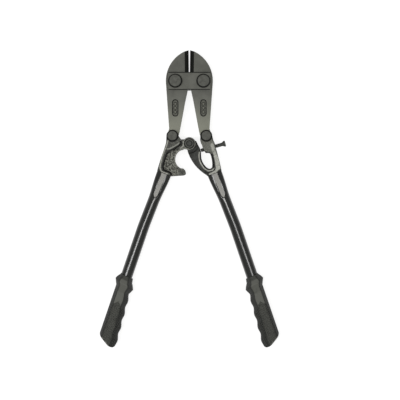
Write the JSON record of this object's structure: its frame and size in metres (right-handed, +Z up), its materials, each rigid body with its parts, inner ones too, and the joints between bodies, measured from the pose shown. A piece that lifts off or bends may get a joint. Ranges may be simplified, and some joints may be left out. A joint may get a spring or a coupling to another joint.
{
  "type": "bolt cutters",
  "caption": "Long-handled bolt cutters with forged jaws between two strap plates, a compound linkage, an adjusting screw, steel tube handles and moulded grips.",
  "frame": {"origin": "middle of the closed tool's length and width, on the surface that it lies on", "axes": "+Y towards the jaw tips, +X across the tool to the adjusting screw's side, +Z up off the surface it lies on, front strap uppermost"},
  "size_m": [0.2692, 0.4457, 0.0329],
  "materials": {
    "jaw_steel": "forged steel, phosphated olive grey, fine matt surface",
    "strap_steel": "pressed steel plate, phosphated",
    "bolt_steel": "turned steel, blackened, satin",
    "zinc_steel": "dark plated steel nuts and washers",
    "forging_steel": "rough drop-forged steel, blackened",
    "screw_steel": "blackened steel screw",
    "black_paint": "gloss black enamel on steel tube",
    "plug_plastic": "moulded plastic cap",
    "grip_rubber": "soft moulded grip, dark grey, knurled"
  },
  "bodies": {
    "head": {"front_strap": "strap_steel", "rear_strap": "strap_steel", "jaw_bolt_left": "bolt_steel", "jaw_bolt_right": "bolt_steel", "jaw_lock_washer_left": "zinc_steel", "jaw_lock_washer_right": "zinc_steel", "jaw_nut_left": "zinc_steel", "jaw_nut_right": "zinc_steel"},
    "left_jaw": {"jaw_left": "jaw_steel"},
    "right_jaw": {"jaw_right": "jaw_steel"},
    "left_handle": {"handle_forging_left": "forging_steel", "tail_bolt_left": "bolt_steel", "tail_lock_washer_left": "zinc_steel", "tail_nut_left": "zinc_steel", "centre_bolt": "bolt_steel", "centre_washer": "zinc_steel", "centre_lock_washer": "zinc_steel", "centre_nut": "zinc_steel", "tube_left": "black_paint", "tube_plug_left": "plug_plastic", "grip_left": "grip_rubber"},
    "right_handle": {"handle_forging_right": "forging_steel", "tail_bolt_right": "bolt_steel", "tail_lock_washer_right": "zinc_steel", "tail_nut_right": "zinc_steel", "tube_right": "black_paint", "tube_plug_right": "plug_plastic", "grip_right": "grip_rubber"},
    "adjuster": {"adjusting_screw": "screw_steel"}
  },
  "joints": [
    {"name": "left_jaw_turn", "type": "hinge", "parent": "head", "child": "left_jaw", "pos_m": [-0.021, 0.17619, 0.01695], "axis": [0, 0, 1], "range_deg": [-1.4, 9.7]},
    {"name": "right_jaw_turn", "type": "hinge", "parent": "head", "child": "right_jaw", "pos_m": [0.021, 0.17619, 0.01695], "axis": [0, 0, -1], "range_deg": [-1.4, 9.7]},
    {"name": "left_handle_swing", "type": "hinge", "parent": "left_jaw", "child": "left_handle", "pos_m": [-0.0252, 0.0944, 0.01695], "axis": [0, 0, -1], "range_deg": [-7.7, 53.6]},
    {"name": "right_handle_swing", "type": "hinge", "parent": "right_jaw", "child": "right_handle", "pos_m": [0.0252, 0.0944, 0.01695], "axis": [0, 0, 1], "range_deg": [-7.7, 53.6]},
    {"name": "adjusting_screw_turn", "type": "hinge", "parent": "right_handle", "child": "adjuster", "pos_m": [0.0343, 0.0778, 0.01695], "axis": [0.9613, 0.2756, 0], "range_deg": [-360, 360]}
  ],
  "couplings": [
    {"joint": "right_handle_swing", "follows": "left_handle_swing", "ratio": 1},
    {"joint": "left_jaw_turn", "follows": "left_handle_swing", "ratio": 0.18033},
    {"joint": "right_jaw_turn", "follows": "left_handle_swing", "ratio": 0.18033}
  ]
}
